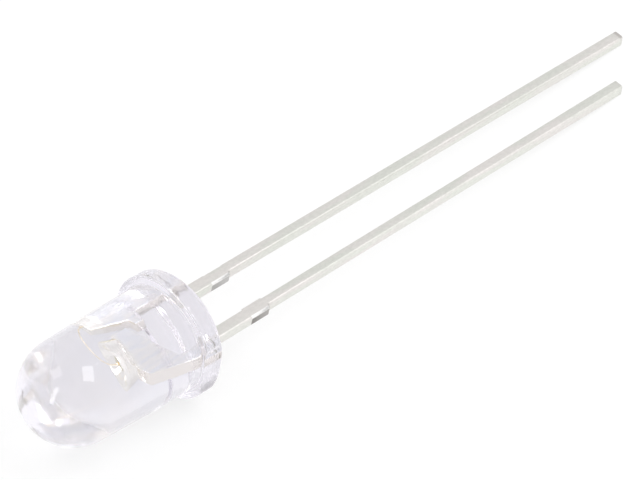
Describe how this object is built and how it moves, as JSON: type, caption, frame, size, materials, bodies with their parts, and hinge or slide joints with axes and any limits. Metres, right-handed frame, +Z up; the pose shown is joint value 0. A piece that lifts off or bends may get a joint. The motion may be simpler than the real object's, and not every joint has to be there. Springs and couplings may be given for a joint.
{
  "type": "through-hole led",
  "caption": "Round water-clear through-hole LED lying on a table: domed resin body with a flat on its flange, and straight tinned leads with the anode longer.",
  "frame": {"origin": "on the table, under the middle of the resting part's box", "axes": "+Z up from the table; +X along the leads, from the dome to the lead tips; the cathode lead and the flange's flat are on the -Y side"},
  "size_m": [0.0368, 0.0056, 0.0059],
  "materials": {
    "clear_epoxy": "water-clear cast epoxy, polished by the mould",
    "tinned_lead_frame": "matte tin plate on stamped steel strip, silver plated inside the resin",
    "die": "sawn semiconductor crystal",
    "silver_adhesive": "silver-filled epoxy paste, cured",
    "gold_wire": "drawn gold wire"
  },
  "bodies": {
    "root": {"lens_body": "clear_epoxy", "cathode_lead": "tinned_lead_frame", "anode_lead": "tinned_lead_frame", "led_chip": "die", "die_attach": "silver_adhesive", "bond_wire": "gold_wire"}
  },
  "joints": []
}
